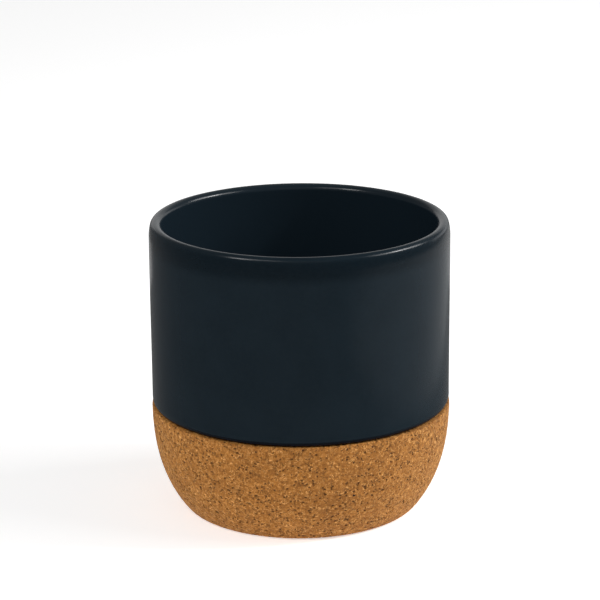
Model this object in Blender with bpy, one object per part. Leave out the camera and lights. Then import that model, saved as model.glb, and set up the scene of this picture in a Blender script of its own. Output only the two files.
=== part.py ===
"""A straight-sided glazed stoneware cup that stands in a turned cork base.

Frame: metres, +Z up, origin at the centre of the cork's flat underside.
Below the joint line the stoneware steps in to a rounded spigot. The spigot sits in the cork's socket,
held by an adhesive band on its side and an adhesive pad under its foot. Every piece is turned about Z.
"""

import math

import bmesh
import bpy

# Driving dimensions, in metres
CUP_DIAMETER = 0.0840
CUP_HEIGHT = 0.0825
JOINT_HEIGHT = 0.0300  # middle of the joint line between stoneware and cork
WALL = 0.0036  # stoneware, everywhere
RIM_TURN = 0.0015  # radius of the rim's outer rounding, down to the angle where it eases
RIM_EASE = 0.0120  # slack radius that carries it on into the straight wall
RIM_EASE_ANGLE = 15  # degrees from level
LOWER_EDGE_INSET = 0.0008  # stoneware's slack rounding at the joint line, across
LOWER_EDGE_RISE = 0.0020  # and up
SPIGOT_RADIUS = 0.0372
SPIGOT_CORNER = 0.0140  # rounding from the spigot's side to its foot
STEP_TOP = 0.0450  # inside the cup, the wall steps in between these two heights
STEP_BOTTOM = 0.0285
RECESS_RADIUS = 0.0150  # hollow in the middle of the spigot's foot
RECESS_DEPTH = 0.0008

CORK_FLOOR = 0.0050  # cork under the cup
CORK_PROUD = 0.00015  # how far the cork stands out past the stoneware
CORK_EDGE_ROUND = 0.0005  # cork's edge at the joint line
CORK_BELLY_HEIGHT = 0.0104  # height of the control point of the side's curve
FOOT_RADIUS = 0.0330  # where the side's curve would meet the floor
FOOT_BLEND = 0.965  # share of the side's curve above the foot's rounded edge
FOOT_EDGE_RUN = 0.0008  # width of that rounded edge on the floor

FIT_GAP = 0.0003  # between neighbouring solids
GLUE_THICKNESS = 0.0006
BAND_BOTTOM = 0.0215
BAND_TOP = 0.0275
PAD_RADIUS = 0.0210

# Smoothness of the turned shapes
SEGMENTS = 64
WELD_DISTANCE = 1e-6
SHARP_ANGLE = math.radians(40)

# Sizes that follow from the ones above
CUP_RADIUS = CUP_DIAMETER / 2
INNER_RADIUS = CUP_RADIUS - WALL
RIM_EASE_SIN = math.sin(math.radians(RIM_EASE_ANGLE))
RIM_EASE_COS = math.cos(math.radians(RIM_EASE_ANGLE))
RIM_CREST_RADIUS = CUP_RADIUS - RIM_EASE + (RIM_EASE - RIM_TURN) * RIM_EASE_COS
RIM_EASE_HEIGHT = CUP_HEIGHT - RIM_TURN - (RIM_EASE - RIM_TURN) * RIM_EASE_SIN  # where it ends
RIM_INNER_ROUND = RIM_CREST_RADIUS - INNER_RADIUS
SHOULDER_HEIGHT = JOINT_HEIGHT + FIT_GAP / 2
CORK_TOP = JOINT_HEIGHT - FIT_GAP / 2
CORK_RADIUS = CUP_RADIUS + CORK_PROUD
SOCKET_CLEARANCE = GLUE_THICKNESS + 2 * FIT_GAP
SPIGOT_BOTTOM = CORK_FLOOR + SOCKET_CLEARANCE
CORNER_CENTRE = (SPIGOT_RADIUS - SPIGOT_CORNER, SPIGOT_BOTTOM + SPIGOT_CORNER)


def arc(centre, across, up, start, end, steps):
    """Points on an elliptical arc of a half section, both ends included; angles in degrees."""
    points = []
    for step in range(steps + 1):
        angle = math.radians(start + (end - start) * step / steps)
        points.append((centre[0] + across * math.cos(angle), centre[1] + up * math.sin(angle)))
    return points


def quadratic(first, control, last, share, steps):
    """Points on the first share of a quadratic curve, both ends included."""
    points = []
    for step in range(steps + 1):
        t = share * step / steps
        weights = ((1 - t) ** 2, 2 * t * (1 - t), t * t)
        points.append(tuple(
            weights[0] * a + weights[1] * b + weights[2] * c for a, b, c in zip(first, control, last)
        ))
    return points


def smooth_step(first, last, steps):
    """Points from first to last in height, the radius easing in and out along a half cosine."""
    points = []
    for step in range(steps + 1):
        share = step / steps
        eased = (1 - math.cos(math.pi * share)) / 2
        radius = first[0] + (last[0] - first[0]) * eased
        points.append((radius, first[1] + (last[1] - first[1]) * share))
    return points


def cup_section():
    """From the middle of the cup's floor up the inside, over the rim and down the outside."""
    inner_corner = SPIGOT_CORNER - WALL
    points = [(0, SPIGOT_BOTTOM + WALL)]
    points += arc(CORNER_CENTRE, inner_corner, inner_corner, -90, 0, 7)
    points += smooth_step((SPIGOT_RADIUS - WALL, STEP_BOTTOM), (INNER_RADIUS, STEP_TOP), 7)
    rim_inside = (RIM_CREST_RADIUS, CUP_HEIGHT - RIM_INNER_ROUND)
    points += arc(rim_inside, RIM_INNER_ROUND, RIM_INNER_ROUND, 180, 90, 4)
    rim_turn = (RIM_CREST_RADIUS, CUP_HEIGHT - RIM_TURN)
    points += arc(rim_turn, RIM_TURN, RIM_TURN, 90, RIM_EASE_ANGLE, 4)[1:]
    rim_ease = (CUP_RADIUS - RIM_EASE, RIM_EASE_HEIGHT)
    points += arc(rim_ease, RIM_EASE, RIM_EASE, RIM_EASE_ANGLE, 0, 3)[1:]
    lower_edge = (CUP_RADIUS - LOWER_EDGE_INSET, SHOULDER_HEIGHT + LOWER_EDGE_RISE)
    points += arc(lower_edge, LOWER_EDGE_INSET, LOWER_EDGE_RISE, 0, -90, 5)
    points.append((SPIGOT_RADIUS, SHOULDER_HEIGHT))
    points += arc(CORNER_CENTRE, SPIGOT_CORNER, SPIGOT_CORNER, 0, -90, 7)
    points.append((RECESS_RADIUS + RECESS_DEPTH, SPIGOT_BOTTOM))
    points.append((RECESS_RADIUS, SPIGOT_BOTTOM + RECESS_DEPTH))
    points.append((0, SPIGOT_BOTTOM + RECESS_DEPTH))
    return points


def cork_section():
    """From the middle of the socket's floor up its side, over the top edge and down the outside."""
    socket_corner = SPIGOT_CORNER + SOCKET_CLEARANCE
    points = [(0, CORK_FLOOR)]
    points += arc(CORNER_CENTRE, socket_corner, socket_corner, -90, 0, 7)
    points.append((SPIGOT_RADIUS + SOCKET_CLEARANCE, CORK_TOP))
    top_edge = (CORK_RADIUS - CORK_EDGE_ROUND, CORK_TOP - CORK_EDGE_ROUND)
    points += arc(top_edge, CORK_EDGE_ROUND, CORK_EDGE_ROUND, 90, 0, 3)
    side_top = (CORK_RADIUS, CORK_TOP - CORK_EDGE_ROUND)
    belly = (CORK_RADIUS, CORK_BELLY_HEIGHT)
    foot = (FOOT_RADIUS, 0)
    side = quadratic(side_top, belly, foot, FOOT_BLEND, 13)
    points += side[1:]
    points += quadratic(side[-1], foot, (FOOT_RADIUS - FOOT_EDGE_RUN, 0), 1, 3)[1:]
    points.append((0, 0))
    return points


def band_section():
    """The adhesive band's closed section, between the spigot's side and the socket's."""
    inside = SPIGOT_RADIUS + FIT_GAP
    outside = inside + GLUE_THICKNESS
    return [(inside, BAND_BOTTOM), (inside, BAND_TOP), (outside, BAND_TOP), (outside, BAND_BOTTOM)]


def pad_section():
    """The adhesive pad under the spigot's foot, as a flat disc with a rounded edge."""
    bottom = CORK_FLOOR + FIT_GAP
    half = GLUE_THICKNESS / 2
    points = [(0, bottom + GLUE_THICKNESS)]
    points += arc((PAD_RADIUS - half, bottom + half), half, half, 90, -90, 4)
    points.append((0, bottom))
    return points


def make_material(name, colour, roughness, metallic=0.0):
    """A plain Principled material; colour is linear red, green and blue."""
    material = bpy.data.materials.new(name)
    material.use_nodes = True
    shader = material.node_tree.nodes["Principled BSDF"]
    shader.inputs["Base Color"].default_value = (*colour, 1.0)
    shader.inputs["Roughness"].default_value = roughness
    shader.inputs["Metallic"].default_value = metallic
    material.diffuse_color = (*colour, 1.0)
    return material


def turned(name, section, material):
    """One closed solid turned about Z from its half section.

    A section that starts and ends on the axis is left open there; any other one is closed into a ring.
    """
    bm = bmesh.new()
    verts = [bm.verts.new((radius, 0.0, height)) for radius, height in section]
    edges = [bm.edges.new(pair) for pair in zip(verts, verts[1:])]
    if section[0][0] > 0:
        edges.append(bm.edges.new((verts[-1], verts[0])))
    bmesh.ops.spin(
        bm,
        geom=verts + edges,
        cent=(0, 0, 0),
        axis=(0, 0, 1),
        angle=2 * math.pi,
        steps=SEGMENTS,
        use_merge=True,
    )
    bmesh.ops.remove_doubles(bm, verts=bm.verts, dist=WELD_DISTANCE)
    bmesh.ops.recalc_face_normals(bm, faces=bm.faces)
    mesh = bpy.data.meshes.new(name)
    bm.to_mesh(mesh)
    bm.free()
    mesh.materials.append(material)
    mesh.shade_smooth()
    mesh.set_sharp_from_angle(angle=SHARP_ANGLE)
    solid = bpy.data.objects.new(name, mesh)
    bpy.context.collection.objects.link(solid)
    return solid


def main():
    for old in list(bpy.data.objects):
        bpy.data.objects.remove(old)

    glaze = make_material("glaze", (0.0095, 0.0150, 0.0200), 0.38)
    cork = make_material("cork", (0.342, 0.147, 0.041), 0.85)
    adhesive = make_material("adhesive", (0.62, 0.58, 0.48), 0.45)

    turned("ceramic_cup", cup_section(), glaze)
    turned("cork_base", cork_section(), cork)
    turned("adhesive_band", band_section(), adhesive)
    turned("adhesive_pad", pad_section(), adhesive)


main()
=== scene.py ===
"""The looks of a glazed stoneware cup in a cork base: fine turned meshes, glaze, cork grain and a studio.

Metres, +Z up, origin at the centre of the cork's underside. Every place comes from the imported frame.
"""

import math

import bmesh
import bpy
from mathutils import Matrix, Vector, noise


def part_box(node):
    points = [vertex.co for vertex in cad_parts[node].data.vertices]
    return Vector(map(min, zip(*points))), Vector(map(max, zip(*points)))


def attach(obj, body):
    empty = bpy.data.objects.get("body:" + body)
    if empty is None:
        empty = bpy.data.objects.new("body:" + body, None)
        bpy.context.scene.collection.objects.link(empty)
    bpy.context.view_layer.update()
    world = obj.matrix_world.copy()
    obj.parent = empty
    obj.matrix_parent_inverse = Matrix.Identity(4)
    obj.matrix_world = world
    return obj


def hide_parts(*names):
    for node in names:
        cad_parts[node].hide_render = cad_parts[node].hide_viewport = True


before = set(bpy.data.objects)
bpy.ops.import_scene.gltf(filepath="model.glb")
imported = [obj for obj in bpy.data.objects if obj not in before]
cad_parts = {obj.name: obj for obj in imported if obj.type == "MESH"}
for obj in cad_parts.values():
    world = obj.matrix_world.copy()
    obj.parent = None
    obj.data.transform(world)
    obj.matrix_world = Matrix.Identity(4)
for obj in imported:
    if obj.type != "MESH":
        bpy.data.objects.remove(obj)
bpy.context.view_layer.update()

# ---- Sizes read from the frame -------------------------------------------------------------------

cup_low, cup_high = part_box("ceramic_cup")
_, cork_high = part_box("cork_base")
pad_low, pad_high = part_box("adhesive_pad")
_, band_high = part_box("adhesive_band")

CUP_RADIUS = cup_high.x
CUP_TOP = cup_high.z
SPIGOT_BOTTOM = cup_low.z
CORK_RADIUS = cork_high.x
CORK_TOP = cork_high.z
FIT_GAP = cup_low.z - pad_high.z
GLUE_THICKNESS = pad_high.z - pad_low.z
SPIGOT_RADIUS = band_high.x - GLUE_THICKNESS - FIT_GAP
SOCKET_RADIUS = band_high.x + FIT_GAP
SOCKET_FLOOR = pad_low.z - FIT_GAP
SHOULDER_HEIGHT = CORK_TOP + FIT_GAP

# ---- Sizes of the roundings, as in the CAD -------------------------------------------------------

WALL = 0.0036
RIM_TURN = 0.0015
RIM_EASE = 0.0120
RIM_EASE_ANGLE = 15
LOWER_EDGE_INSET = 0.0008
LOWER_EDGE_RISE = 0.0020
SPIGOT_CORNER = 0.0140
STEP_TOP = 0.0450
STEP_BOTTOM = 0.0285
RECESS_RADIUS = 0.0150
RECESS_DEPTH = 0.0008
CORK_EDGE_ROUND = 0.0005
CORK_BELLY_HEIGHT = 0.0104
FOOT_RADIUS = 0.0330
FOOT_BLEND = 0.965
FOOT_EDGE_RUN = 0.0008
RIM_EASE_SIN = math.sin(math.radians(RIM_EASE_ANGLE))
RIM_EASE_COS = math.cos(math.radians(RIM_EASE_ANGLE))
INNER_RADIUS = CUP_RADIUS - WALL
RIM_CREST_RADIUS = CUP_RADIUS - RIM_EASE + (RIM_EASE - RIM_TURN) * RIM_EASE_COS
RIM_EASE_HEIGHT = CUP_TOP - RIM_TURN - (RIM_EASE - RIM_TURN) * RIM_EASE_SIN
RIM_INNER_ROUND = RIM_CREST_RADIUS - INNER_RADIUS
CORNER_CENTRE = (SPIGOT_RADIUS - SPIGOT_CORNER, SPIGOT_BOTTOM + SPIGOT_CORNER)

# ---- Mesh density --------------------------------------------------------------------------------

CUP_SEGMENTS = 384
CUP_SPACING = 0.0008
ROUND_SPACING = 0.00025
CORK_SEGMENTS = 768
CORK_SPACING = 0.0004
HIDDEN_SPACING = 0.0015
COVERED_RINGS = 3  # of the cork's top, under the cup's shoulder


# ---- Turned meshes -------------------------------------------------------------------------------

def spaced(curve, length, spacing):
    """The points of curve(t), t from 0 to 1, about one spacing apart over the given length."""
    steps = max(2, round(length / spacing))
    return [curve(step / steps) for step in range(steps + 1)]


def line(first, last, spacing):
    """A straight stretch of a half section."""
    length = math.dist(first, last)
    return spaced(lambda t: tuple(a + (b - a) * t for a, b in zip(first, last)), length, spacing)


def arc(centre, across, up, start, end, spacing):
    """An elliptical stretch; angles in degrees, from outwards towards up."""
    def point(t):
        angle = math.radians(start + (end - start) * t)
        return centre[0] + across * math.cos(angle), centre[1] + up * math.sin(angle)
    length = math.radians(abs(end - start)) * (across + up) / 2
    return spaced(point, length, spacing)


def quadratic(first, control, last, share, spacing):
    """The first share of a quadratic curve."""
    def point(t):
        t = t * share
        return tuple(
            (1 - t) ** 2 * a + 2 * t * (1 - t) * b + t * t * c for a, b, c in zip(first, control, last)
        )
    length = (math.dist(first, control) + math.dist(control, last) + math.dist(first, last)) / 2
    return spaced(point, length * share, spacing)


def smooth_step(first, last, spacing):
    """A stretch whose radius eases in and out along a half cosine."""
    def point(t):
        eased = (1 - math.cos(math.pi * t)) / 2
        return first[0] + (last[0] - first[0]) * eased, first[1] + (last[1] - first[1]) * t
    return spaced(point, math.dist(first, last), spacing)


def joined(*stretches):
    """One section from stretches whose ends may coincide."""
    points = []
    for stretch in stretches:
        for point in stretch:
            if not points or math.dist(points[-1], point) > FIT_GAP / 10:
                points.append(point)
    return points


def cup_section():
    """From the middle of the cup's floor up the inside, over the rim and down the outside to the foot."""
    floor = SPIGOT_BOTTOM + WALL
    inner_corner = SPIGOT_CORNER - WALL
    rim_inner = (RIM_CREST_RADIUS, CUP_TOP - RIM_INNER_ROUND)
    rim_turn = (RIM_CREST_RADIUS, CUP_TOP - RIM_TURN)
    rim_ease = (CUP_RADIUS - RIM_EASE, RIM_EASE_HEIGHT)
    lower_edge = (CUP_RADIUS - LOWER_EDGE_INSET, SHOULDER_HEIGHT + LOWER_EDGE_RISE)
    recess_roof = SPIGOT_BOTTOM + RECESS_DEPTH
    recess_edge = RECESS_RADIUS + RECESS_DEPTH
    return joined(
        line((0, floor), (CORNER_CENTRE[0], floor), HIDDEN_SPACING),
        arc(CORNER_CENTRE, inner_corner, inner_corner, -90, 0, CUP_SPACING),
        smooth_step((SPIGOT_RADIUS - WALL, STEP_BOTTOM), (INNER_RADIUS, STEP_TOP), CUP_SPACING),
        line((INNER_RADIUS, STEP_TOP), (INNER_RADIUS, rim_inner[1]), CUP_SPACING),
        arc(rim_inner, RIM_INNER_ROUND, RIM_INNER_ROUND, 180, 90, ROUND_SPACING / 2),
        arc(rim_turn, RIM_TURN, RIM_TURN, 90, RIM_EASE_ANGLE, ROUND_SPACING / 2),
        arc(rim_ease, RIM_EASE, RIM_EASE, RIM_EASE_ANGLE, 0, ROUND_SPACING),
        line((CUP_RADIUS, rim_ease[1]), (CUP_RADIUS, lower_edge[1]), CUP_SPACING),
        arc(lower_edge, LOWER_EDGE_INSET, LOWER_EDGE_RISE, 0, -90, ROUND_SPACING / 2),
        line((lower_edge[0], SHOULDER_HEIGHT), (SPIGOT_RADIUS, SHOULDER_HEIGHT), HIDDEN_SPACING),
        line((SPIGOT_RADIUS, SHOULDER_HEIGHT), (SPIGOT_RADIUS, CORNER_CENTRE[1]), HIDDEN_SPACING),
        arc(CORNER_CENTRE, SPIGOT_CORNER, SPIGOT_CORNER, 0, -90, HIDDEN_SPACING),
        line((CORNER_CENTRE[0], SPIGOT_BOTTOM), (recess_edge, SPIGOT_BOTTOM), HIDDEN_SPACING),
        line((RECESS_RADIUS, recess_roof), (0, recess_roof), HIDDEN_SPACING),
    )


def cork_sections():
    """The cork's outside, from its top edge to the middle of its underside, and its hidden socket."""
    top_edge = (CORK_RADIUS - CORK_EDGE_ROUND, CORK_TOP - CORK_EDGE_ROUND)
    side_top = (CORK_RADIUS, top_edge[1])
    belly = (CORK_RADIUS, CORK_BELLY_HEIGHT)
    foot = (FOOT_RADIUS, 0)
    side = quadratic(side_top, belly, foot, FOOT_BLEND, CORK_SPACING)
    flat = (FOOT_RADIUS - FOOT_EDGE_RUN, 0)
    outside = joined(
        line((SOCKET_RADIUS, CORK_TOP), (top_edge[0], CORK_TOP), CORK_SPACING * 2),
        arc(top_edge, CORK_EDGE_ROUND, CORK_EDGE_ROUND, 90, 0, CORK_SPACING / 2),
        side,
        quadratic(side[-1], foot, flat, 1, CORK_SPACING),
        line(flat, (0, 0), CORK_SPACING * 4),
    )
    corner = SOCKET_RADIUS - CORNER_CENTRE[0]
    socket = joined(
        line((0, SOCKET_FLOOR), (CORNER_CENTRE[0], SOCKET_FLOOR), HIDDEN_SPACING * 2),
        arc(CORNER_CENTRE, corner, corner, -90, 0, HIDDEN_SPACING),
        line((SOCKET_RADIUS, CORNER_CENTRE[1]), (SOCKET_RADIUS, CORK_TOP), HIDDEN_SPACING),
    )
    return socket[:-1], outside


def ring_size(radius, segments, widest):
    """How many vertices a ring has: a power-of-two share of segments, fewer towards the axis."""
    size = segments
    while size > 12 and 2 * math.pi * radius / size < math.pi * widest / segments:
        size //= 2
    return size


def bridge(first, second):
    """Faces between two rings, where one has a power-of-two multiple of the other's vertices."""
    if len(first) < len(second):
        return bridge(second, first)
    ratio = len(first) // len(second)
    faces = []
    for j, near in enumerate(second):
        after = second[(j + 1) % len(second)]
        run = [first[(ratio * j + i) % len(first)] for i in range(ratio + 1)]
        if len(second) == 1:
            faces += [(a, b, near) for a, b in zip(run, run[1:])]
        elif ratio == 1:
            faces.append((run[0], run[1], after, near))
        else:
            middle = ratio // 2
            faces += [(a, b, near) for a, b in zip(run[:middle], run[1:middle + 1])]
            faces.append((near, run[middle], after))
            faces += [(a, b, after) for a, b in zip(run[middle:], run[middle + 1:])]
    return faces


def turned(name, section, segments):
    """A closed mesh turned about Z. Its rings lose vertices towards the axis, so faces stay near square."""
    verts = []
    rings = []
    widest = max(radius for radius, height in section)
    for radius, height in section:
        size = 1 if radius == 0 else ring_size(radius, segments, widest)
        rings.append(range(len(verts), len(verts) + size))
        for step in range(size):
            angle = 2 * math.pi * step / size
            verts.append((radius * math.cos(angle), radius * math.sin(angle), height))
    faces = []
    for first, second in zip(rings, rings[1:]):
        faces += bridge(first, second)
    mesh = bpy.data.meshes.new(name)
    mesh.from_pydata(verts, [], faces)
    return mesh, rings


def face_outwards(mesh):
    """Makes the faces of a closed mesh point out and shades them smooth."""
    bm = bmesh.new()
    bm.from_mesh(mesh)
    bmesh.ops.recalc_face_normals(bm, faces=bm.faces)
    bm.to_mesh(mesh)
    bm.free()
    mesh.shade_smooth()


def place(name, mesh):
    piece = bpy.data.objects.new(name, mesh)
    bpy.context.scene.collection.objects.link(piece)
    return piece


# ---- Node graphs ---------------------------------------------------------------------------------

class Graph:
    """Adds nodes to a shader or geometry tree. Each method returns a new node's output socket."""

    def __init__(self, tree):
        self.tree = tree

    def node(self, kind, inputs=(), **settings):
        made = self.tree.nodes.new(kind)
        for key, value in settings.items():
            setattr(made, key, value)
        for key, value in dict(inputs).items():
            if isinstance(value, bpy.types.NodeSocket):
                self.tree.links.new(value, made.inputs[key])
            else:
                made.inputs[key].default_value = value
        return made

    def math(self, operation, *values):
        return self.node("ShaderNodeMath", enumerate(values), operation=operation).outputs[0]

    def vector(self, operation, *values):
        return self.node("ShaderNodeVectorMath", enumerate(values), operation=operation).outputs[0]

    def scaled(self, vector, factor):
        node = self.node("ShaderNodeVectorMath", {0: vector, "Scale": factor}, operation="SCALE")
        return node.outputs[0]

    def noise(self, position, size, detail=2.0, roughness=0.5, output=0):
        inputs = {"Vector": position, "Scale": 1 / size, "Detail": detail, "Roughness": roughness}
        return self.node("ShaderNodeTexNoise", inputs).outputs[output]

    def cells(self, position, size, feature="F1"):
        inputs = {"Vector": position, "Scale": 1 / size}
        return self.node("ShaderNodeTexVoronoi", inputs, feature=feature)

    def fade(self, value, start, end, low=0.0, high=1.0):
        """low where value is at start, high where it is at end, smooth between and flat beyond."""
        inputs = {"Value": value, "From Min": start, "From Max": end, "To Min": low, "To Max": high}
        return self.node("ShaderNodeMapRange", inputs, interpolation_type="SMOOTHSTEP").outputs[0]

    def mix(self, factor, first, second):
        made = self.node("ShaderNodeMix", data_type="RGBA")
        for key, value in ((0, factor), (6, first), (7, second)):
            if isinstance(value, bpy.types.NodeSocket):
                self.tree.links.new(value, made.inputs[key])
            elif key == 0:
                made.inputs[key].default_value = value
            else:
                made.inputs[key].default_value = (*value, 1.0)
        return made.outputs[2]

    def split(self, colour):
        return self.node("ShaderNodeSeparateXYZ", {0: colour}).outputs

    def bumped(self, height, distance, normal=None):
        inputs = {"Height": height, "Distance": distance, "Strength": 1.0}
        if normal is not None:
            inputs["Normal"] = normal
        return self.node("ShaderNodeBump", inputs).outputs[0]


def new_material(name):
    material = bpy.data.materials.new(name)
    material.use_nodes = True
    graph = Graph(material.node_tree)
    shader = material.node_tree.nodes["Principled BSDF"]
    position = graph.node("ShaderNodeTexCoord").outputs["Object"]
    return material, graph, shader, position


def wire(graph, shader, **sockets):
    for key, socket in sockets.items():
        graph.tree.links.new(socket, shader.inputs[key.replace("_", " ")])


# ---- Cork: one grain drives both its relief and its colour ---------------------------------------

GRANULE = 0.0010
MOTTLE = 0.0008
CRACK_PATCH = 0.0013  # the size of the areas that show cracks
FLECK = 0.0012
FLECK_PATCH = 0.0015  # the size of the areas that show flecks
FIBRE = 0.00045
BROAD = 0.007  # the size of the cork's cloudiness
DRIFT_SIZE = 0.0011
DRIFT_REACH = 0.0009
PRESSED = 1.35  # how much wider than tall a spot is
# Spots: the size of the cells they sit in, their radius and its spread as parts of a cell,
# and the share of cells that have one.
PITS = {"size": 0.0016, "radius": 0.19, "spread": 0.40, "share": 0.80}
PORES = {"size": 0.0010, "radius": 0.31, "spread": 0.30, "share": 0.50}
CHARS = {"size": 0.0052, "radius": 0.062, "spread": 0.15, "share": 0.80}


def cork_grain(graph, position):
    """The agglomerate's fields, each from 0 to 1: granule tone, mottle, crack, pit, char and fleck."""
    drift = graph.noise(position, DRIFT_SIZE, 2.0, output=1)
    drift = graph.scaled(graph.vector("SUBTRACT", drift, (0.5, 0.5, 0.5)), DRIFT_REACH)
    bent = graph.vector("ADD", position, drift)
    pressed = graph.vector("MULTIPLY", bent, (1.0, 1.0, PRESSED))

    def spots(size, radius, spread, share):
        cell = graph.cells(pressed, size)
        chance, width, _ = graph.split(cell.outputs["Color"])
        reach = graph.math("MULTIPLY", graph.fade(width, 0.0, 1.0, 1 - spread, 1 + spread), radius)
        near = graph.math("DIVIDE", cell.outputs["Distance"], reach)
        return graph.math("MULTIPLY", graph.fade(near, 1.1, 0.75), graph.math("LESS_THAN", chance, share))

    tone = graph.split(graph.cells(bent, GRANULE).outputs["Color"])[0]
    mottle = graph.fade(graph.noise(bent, MOTTLE, 3.0, 0.65), 0.30, 0.70)
    edge = graph.cells(bent, GRANULE, "DISTANCE_TO_EDGE").outputs["Distance"]
    some = graph.fade(graph.noise(position, CRACK_PATCH, 1.0), 0.54, 0.62)
    crack = graph.math("MULTIPLY", graph.fade(edge, 0.13, 0.02), some)
    pit = graph.math("MAXIMUM", spots(**PITS), spots(**PORES))
    char = spots(**CHARS)
    ridge = graph.math("ABSOLUTE", graph.math("SUBTRACT", graph.noise(bent, FLECK, 1.0), 0.5))
    patch = graph.fade(graph.noise(position, FLECK_PATCH, 1.0), 0.46, 0.56)
    fleck = graph.math("MULTIPLY", graph.fade(ridge, 0.030, 0.006), patch)
    return tone, mottle, crack, pit, char, fleck


# How deep each field is carved where it is full; a fleck stands out.
RELIEF = {"granule": 0.00003, "mottle": 0.00005, "crack": 0.00006, "pit": 0.00024, "fleck": -0.00004}


def carve_cork(piece):
    """Moves the outside of the cork in and out along its normals by the grain's relief."""
    tree = bpy.data.node_groups.new("cork_relief", "GeometryNodeTree")
    tree.interface.new_socket("Geometry", in_out="INPUT", socket_type="NodeSocketGeometry")
    tree.interface.new_socket("Geometry", in_out="OUTPUT", socket_type="NodeSocketGeometry")
    graph = Graph(tree)
    source = graph.node("NodeGroupInput").outputs[0]
    position = graph.node("GeometryNodeInputPosition").outputs[0]
    normal = graph.node("GeometryNodeInputNormal").outputs[0]
    exposed = graph.node(
        "GeometryNodeInputNamedAttribute", {"Name": "exposed"}, data_type="FLOAT"
    ).outputs["Attribute"]
    tone, mottle, crack, pit, char, fleck = cork_grain(graph, position)
    depth = graph.math("MULTIPLY", tone, RELIEF["granule"])
    depth = graph.math("MULTIPLY_ADD", graph.math("SUBTRACT", 1.0, mottle), RELIEF["mottle"], depth)
    depth = graph.math("MULTIPLY_ADD", crack, RELIEF["crack"], depth)
    depth = graph.math("MULTIPLY_ADD", pit, RELIEF["pit"], depth)
    depth = graph.math("MULTIPLY_ADD", fleck, RELIEF["fleck"], depth)
    depth = graph.math("MULTIPLY", graph.math("MAXIMUM", depth, 0.0), exposed)
    offset = graph.scaled(normal, graph.math("MULTIPLY", depth, -1.0))
    moved = graph.node("GeometryNodeSetPosition", {"Geometry": source, "Offset": offset}).outputs[0]
    result = graph.node("NodeGroupOutput")
    tree.links.new(moved, result.inputs[0])
    modifier = piece.modifiers.new("relief", "NODES")
    modifier.node_group = tree
    evaluated = piece.evaluated_get(bpy.context.evaluated_depsgraph_get())
    carved = bpy.data.meshes.new_from_object(evaluated)
    piece.modifiers.clear()
    piece.data = carved
    bpy.data.node_groups.remove(tree)


CORK_BASE = (0.570, 0.235, 0.039)
CORK_PALE = (0.900, 0.490, 0.150)
CORK_DEEP = (0.240, 0.082, 0.0125)
CORK_DARK = (0.095, 0.031, 0.0040)
CORK_CHAR = (0.006, 0.007, 0.009)


def cork_material():
    material, graph, shader, position = new_material("cork_agglomerate")
    tone, mottle, crack, pit, char, fleck = cork_grain(graph, position)
    broad = graph.noise(position, BROAD, 3.0)
    fibre = graph.noise(position, FIBRE, 3.0, 0.6)
    colour = graph.mix(graph.fade(tone, 0.0, 1.0, 0.25, 0.0), CORK_BASE, CORK_DEEP)
    colour = graph.mix(graph.fade(mottle, 0.50, 1.0, 0.0, 0.42), colour, CORK_PALE)
    colour = graph.mix(graph.fade(mottle, 0.50, 0.0, 0.0, 0.55), colour, CORK_DEEP)
    colour = graph.mix(graph.fade(broad, 0.35, 0.7, 0.0, 0.22), colour, CORK_DEEP)
    colour = graph.mix(graph.fade(fibre, 0.35, 0.65, 0.35, 0.0), colour, CORK_DEEP)
    colour = graph.mix(graph.math("MULTIPLY", fleck, 0.85), colour, CORK_PALE)
    colour = graph.mix(graph.math("MULTIPLY", crack, 0.60), colour, CORK_DARK)
    colour = graph.mix(graph.math("MULTIPLY", pit, 0.85), colour, CORK_DARK)
    colour = graph.mix(char, colour, CORK_CHAR)
    rough = graph.fade(fibre, 0.3, 0.7, 0.78, 0.92)
    hollow = graph.math("MAXIMUM", graph.math("MULTIPLY", crack, 0.5), pit)
    height = graph.math("MULTIPLY_ADD", hollow, -1.6, graph.math("ADD", fibre, mottle))
    wire(graph, shader, Base_Color=colour, Roughness=rough, Normal=graph.bumped(height, 0.00012))
    shader.inputs["Specular IOR Level"].default_value = 0.3
    shader.inputs["Diffuse Roughness"].default_value = 1.0
    shader.inputs["Sheen Weight"].default_value = 0.08
    shader.inputs["Sheen Roughness"].default_value = 0.5
    shader.inputs["Sheen Tint"].default_value = (1.0, 0.70, 0.40, 1.0)
    return material


def cork_base():
    socket, outside = cork_sections()
    mesh, rings = turned("cork_block", socket + outside, CORK_SEGMENTS)
    face_outwards(mesh)
    exposed = mesh.attributes.new("exposed", "FLOAT", "POINT")
    for ring in rings[len(socket) + COVERED_RINGS:]:
        for index in ring:
            exposed.data[index].value = 1.0
    piece = place("cork_block", mesh)
    carve_cork(piece)
    piece.data.materials.append(cork_material())
    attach(piece, "root")
    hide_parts("cork_base")


# ---- Glazed stoneware ----------------------------------------------------------------------------

GLAZE = (0.0056, 0.0120, 0.0175)
# painted light: the inside is paler, standing in for light that falls into the cup
GLAZE_INSIDE_PAINTED_LIGHT = (0.0100, 0.0182, 0.0260)
GLAZE_SHADE_BELOW_RIM = (0.0022, 0.0070, 0.0112)  # painted shade: a dark reflection painted on the bend between the rim and the straight wall
GLAZE_SHADE_LOWER_EDGE = (0.0006, 0.0020, 0.0050)  # painted shade along the lower edge, where the cup turns under towards the cork
GLAZE_SPECK_AND_EDGE_HIGHLIGHT = (0.0200, 0.0280, 0.0340)  # painted highlight on the rim's inner edge; at a low share, also the pale of the glaze's random specks
BELOW_RIM_DEPTH = (0.0080, 0.0045)  # under the rim: where the painted shade on the bend starts, and where it is full
BELOW_RIM_INSET = (0.0008, 0.0002)  # in from the cup's outside, likewise
LOWER_EDGE_SHADE_HEIGHT = (0.0013, 0.0008)  # above the shoulder: where the painted shade along the lower edge starts, and where it is full
EDGE_HIGHLIGHT_DEPTH = (0.0006, 0.0001)  # under the rim: where the painted edge highlight starts, and where it is full
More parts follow.
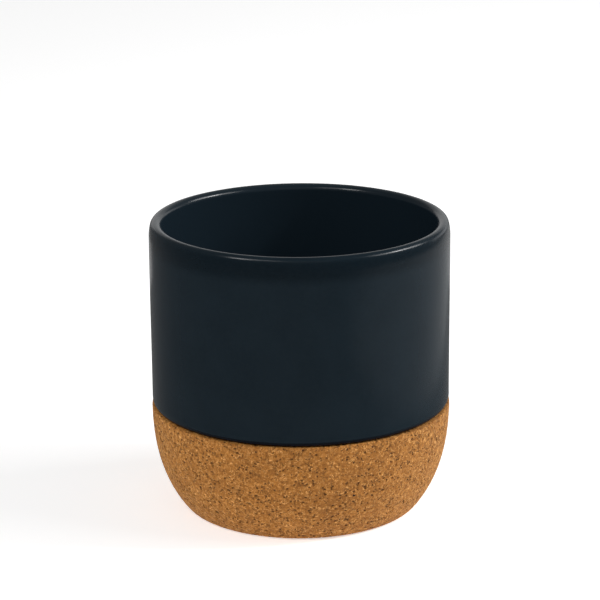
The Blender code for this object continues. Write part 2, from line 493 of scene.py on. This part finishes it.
EDGE_HIGHLIGHT_REACH = 0.0005  # in from the rim's crest
CLOUD = 0.012
SPECK = 0.0009
PEEL = 0.0016
PEEL_HEIGHT = 0.000007
WAVE_SIZE = 0.016
WAVE_HEIGHT = 0.00006


def glaze_colour(graph, position, cloud, speck):
    """A cloudy dark glaze, made paler inside as painted light, with a painted highlight on the rim's inner
    edge and painted shade on the bend and the foot.
    """
    x, y, z = graph.split(position)
    flat = graph.node("ShaderNodeCombineXYZ", {"X": x, "Y": y}).outputs[0]
    radius = graph.node("ShaderNodeVectorMath", {0: flat}, operation="LENGTH").outputs["Value"]
    near_edge = graph.fade(radius, RIM_CREST_RADIUS, RIM_CREST_RADIUS - EDGE_HIGHLIGHT_REACH)
    near_top = graph.fade(z, *(CUP_TOP - depth for depth in EDGE_HIGHLIGHT_DEPTH))
    edge_highlight = graph.math("MULTIPLY", near_edge, near_top)
    inside = graph.fade(radius, INNER_RADIUS + RIM_INNER_ROUND * 0.5, INNER_RADIUS)
    under = graph.fade(z, *(CUP_TOP - depth for depth in BELOW_RIM_DEPTH))
    outside = graph.fade(radius, *(CUP_RADIUS - inset for inset in BELOW_RIM_INSET))
    lower_edge_shade = graph.fade(z, *(SHOULDER_HEIGHT + height for height in LOWER_EDGE_SHADE_HEIGHT))
    colour = graph.mix(graph.fade(cloud, 0.3, 0.7), GLAZE, tuple(c * 1.15 for c in GLAZE))
    # painted shade: the bend below the rim is darkened where a dark reflection falls
    colour = graph.mix(graph.math("MULTIPLY", under, outside), colour, GLAZE_SHADE_BELOW_RIM)
    # painted shade: the glaze is darkened along the lower edge, where it turns under towards the cork
    colour = graph.mix(lower_edge_shade, colour, GLAZE_SHADE_LOWER_EDGE)
    # painted light: the inside of the cup is made paler
    colour = graph.mix(inside, colour, GLAZE_INSIDE_PAINTED_LIGHT)
    colour = graph.mix(graph.fade(speck, 0.35, 0.70, 0.0, 0.06), colour, GLAZE_SPECK_AND_EDGE_HIGHLIGHT)
    # painted highlight: paler glaze along the rim's inner edge
    return graph.mix(graph.math("MULTIPLY", edge_highlight, 0.6), colour, GLAZE_SPECK_AND_EDGE_HIGHLIGHT)


def glaze_material():
    material, graph, shader, position = new_material("matte_glaze")
    cloud = graph.noise(position, CLOUD, 4.0, 0.55)
    speck = graph.noise(position, SPECK, 3.0, 0.6)
    peel = graph.noise(position, PEEL, 2.0)
    colour = glaze_colour(graph, position, cloud, speck)
    rough = graph.fade(graph.math("MULTIPLY_ADD", speck, 0.3, cloud), 0.4, 0.9, 0.19, 0.24)
    normal = graph.bumped(graph.math("MULTIPLY_ADD", speck, 0.25, peel), PEEL_HEIGHT)
    wire(graph, shader, Base_Color=colour, Roughness=rough, Normal=normal)
    shader.inputs["Specular IOR Level"].default_value = 0.2
    return material


def wave_cup(mesh):
    """The slight unevenness of a cast and fired wall, in and out from the axis."""
    for vert in mesh.vertices:
        flat = Vector((vert.co.x, vert.co.y, 0))
        if vert.co.z < SHOULDER_HEIGHT + LOWER_EDGE_RISE or flat.length < 0.001:
            continue
        swell = noise.noise(Vector((vert.co.x, vert.co.y, vert.co.z * 0.6)) / WAVE_SIZE)
        vert.co += flat.normalized() * swell * WAVE_HEIGHT


def ceramic_cup():
    mesh, _ = turned("stoneware_cup", cup_section(), CUP_SEGMENTS)
    wave_cup(mesh)
    face_outwards(mesh)
    piece = place("stoneware_cup", mesh)
    piece.data.materials.append(glaze_material())
    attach(piece, "root")
    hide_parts("ceramic_cup")


# ---- Adhesive: hidden pieces that keep their CAD shape -------------------------------------------

ADHESIVE = (0.66, 0.62, 0.52)
ADHESIVE_AGED = (0.56, 0.51, 0.40)


def adhesive_material():
    material, graph, shader, position = new_material("cured_adhesive")
    cloud = graph.noise(position, 0.004, 3.0)
    colour = graph.mix(graph.fade(cloud, 0.3, 0.7), ADHESIVE, ADHESIVE_AGED)
    wire(graph, shader, Base_Color=colour, Roughness=graph.fade(cloud, 0.3, 0.7, 0.38, 0.52),
         Normal=graph.bumped(graph.noise(position, 0.0015, 3.0), 0.0001))
    return material


def adhesive():
    material = adhesive_material()
    for name in ("adhesive_band", "adhesive_pad"):
        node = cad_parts[name]
        node.data.materials.clear()
        node.data.materials.append(material)


# ---- Studio --------------------------------------------------------------------------------------

VIEW_DISTANCE = 16.658  # in cup radii
VIEW_ELEVATION = math.radians(18.05)
VIEW_AIM = 1.399  # height on the axis that the camera looks at, in cup radii
VIEW_ROLL = math.radians(0.45)
VIEW_LENS = 148.4
PANEL_HEIGHT = 0.002  # of the lights that lie on the table
FLOOR_RADIUS = 4
FLOOR_GLOW = 0.48  # the table's own light, as on a lit white sweep
WORLD_GLOW = 0.19  # what the world sheds on the cup; the camera sees it white


def camera():
    data = bpy.data.cameras.new("camera")
    data.lens = VIEW_LENS
    data.clip_start = 0.01
    data.clip_end = 20
    eye = bpy.data.objects.new("camera", data)
    bpy.context.scene.collection.objects.link(eye)
    reach = VIEW_DISTANCE * CUP_RADIUS
    eye.location = (0, -reach * math.cos(VIEW_ELEVATION), CUP_RADIUS + reach * math.sin(VIEW_ELEVATION))
    aim = Vector((0, 0, VIEW_AIM * CUP_RADIUS))
    look = (aim - eye.location).to_track_quat("-Z", "Y").to_matrix()
    eye.rotation_euler = (look @ Matrix.Rotation(-VIEW_ROLL, 3, "Z")).to_euler()
    bpy.context.scene.camera = eye


def area_light(name, size, power):
    data = bpy.data.lights.new(name, "AREA")
    data.shape = "RECTANGLE"
    data.size, data.size_y = size
    data.energy = power
    lamp = bpy.data.objects.new(name, data)
    bpy.context.scene.collection.objects.link(lamp)
    lamp.visible_camera = False
    return lamp


def softbox(name, azimuth, elevation, distance, size, power):
    """A light aimed at the middle of the cup. Azimuth is counted from the camera's side towards +X."""
    lamp = area_light(name, size, power)
    a, e = math.radians(azimuth), math.radians(elevation)
    away = Vector((math.sin(a) * math.cos(e), -math.cos(a) * math.cos(e), math.sin(e)))
    lamp.location = Vector((0, 0, CUP_TOP / 2)) + away * distance
    lamp.rotation_euler = (-away).to_track_quat("-Z", "Y").to_euler()


def table_panel(name, x, y, size, power):
    """A light lying on the table face up. It stands in for the white table's bounce near the cup."""
    lamp = area_light(name, size, power)
    lamp.location = (x, y, PANEL_HEIGHT)
    lamp.rotation_euler = (math.pi, 0, 0)


def studio():
    """Softboxes by azimuth, elevation, distance, size and watts; panels by place, size and watts."""
    softbox("key", 86, 34, 1.0, (0.12, 0.14), 4.0)
    softbox("key_back", 100, 30, 1.0, (0.30, 0.30), 2.6)
    softbox("key_front", 72, 36, 1.0, (0.30, 0.30), 1.7)
    softbox("fill", -50, 40, 1.0, (0.20, 0.20), 2.0)
    softbox("fill_wide", -42, 46, 1.0, (0.60, 0.20), 1.5)
    softbox("back_low", 180, 10, 1.6, (1.60, 0.50), 1.35)
    softbox("back_high", 180, 24, 1.6, (1.60, 0.50), 0.9)
    softbox("right_back", 135, 8, 1.3, (0.80, 0.40), 0.8)
    softbox("front", 0, 35, 1.3, (1.00, 0.80), 0.55)
    table_panel("table_right", 0.30, 0, (0.35, 0.40), 0.16)
    table_panel("table_right_back", 0.27, 0.35, (0.35, 0.30), 0.12)
    table_panel("table_back", 0, 0.35, (0.30, 0.30), 0.12)


def backdrop():
    """A pale floor, wide enough to fill the view, and a pale world beyond it."""
    bpy.ops.mesh.primitive_circle_add(vertices=128, radius=FLOOR_RADIUS, fill_type="NGON")
    floor = bpy.context.object
    floor.name = "floor"
    material, graph, shader, position = new_material("floor")
    tint = graph.noise(position, 0.4, 2.0)
    wire(graph, shader, Base_Color=graph.mix(tint, (0.92, 0.92, 0.92), (0.94, 0.94, 0.94)))
    shader.inputs["Roughness"].default_value = 0.9
    shader.inputs["Specular IOR Level"].default_value = 0.0
    shader.inputs["Emission Color"].default_value = (1, 1, 1, 1)
    shader.inputs["Emission Strength"].default_value = FLOOR_GLOW
    floor.data.materials.append(material)
    floor.visible_glossy = False

    world = bpy.data.worlds.new("studio")
    bpy.context.scene.world = world
    world.use_nodes = True
    graph = Graph(world.node_tree)
    seen = graph.node("ShaderNodeLightPath").outputs["Is Camera Ray"]
    light = graph.mix(seen, (WORLD_GLOW,) * 3, (1.0, 1.0, 1.0))
    world.node_tree.links.new(light, world.node_tree.nodes["Background"].inputs["Color"])


camera()
ceramic_cup()
cork_base()
adhesive()
studio()
backdrop()
bpy.context.scene.view_settings.view_transform = "Standard"
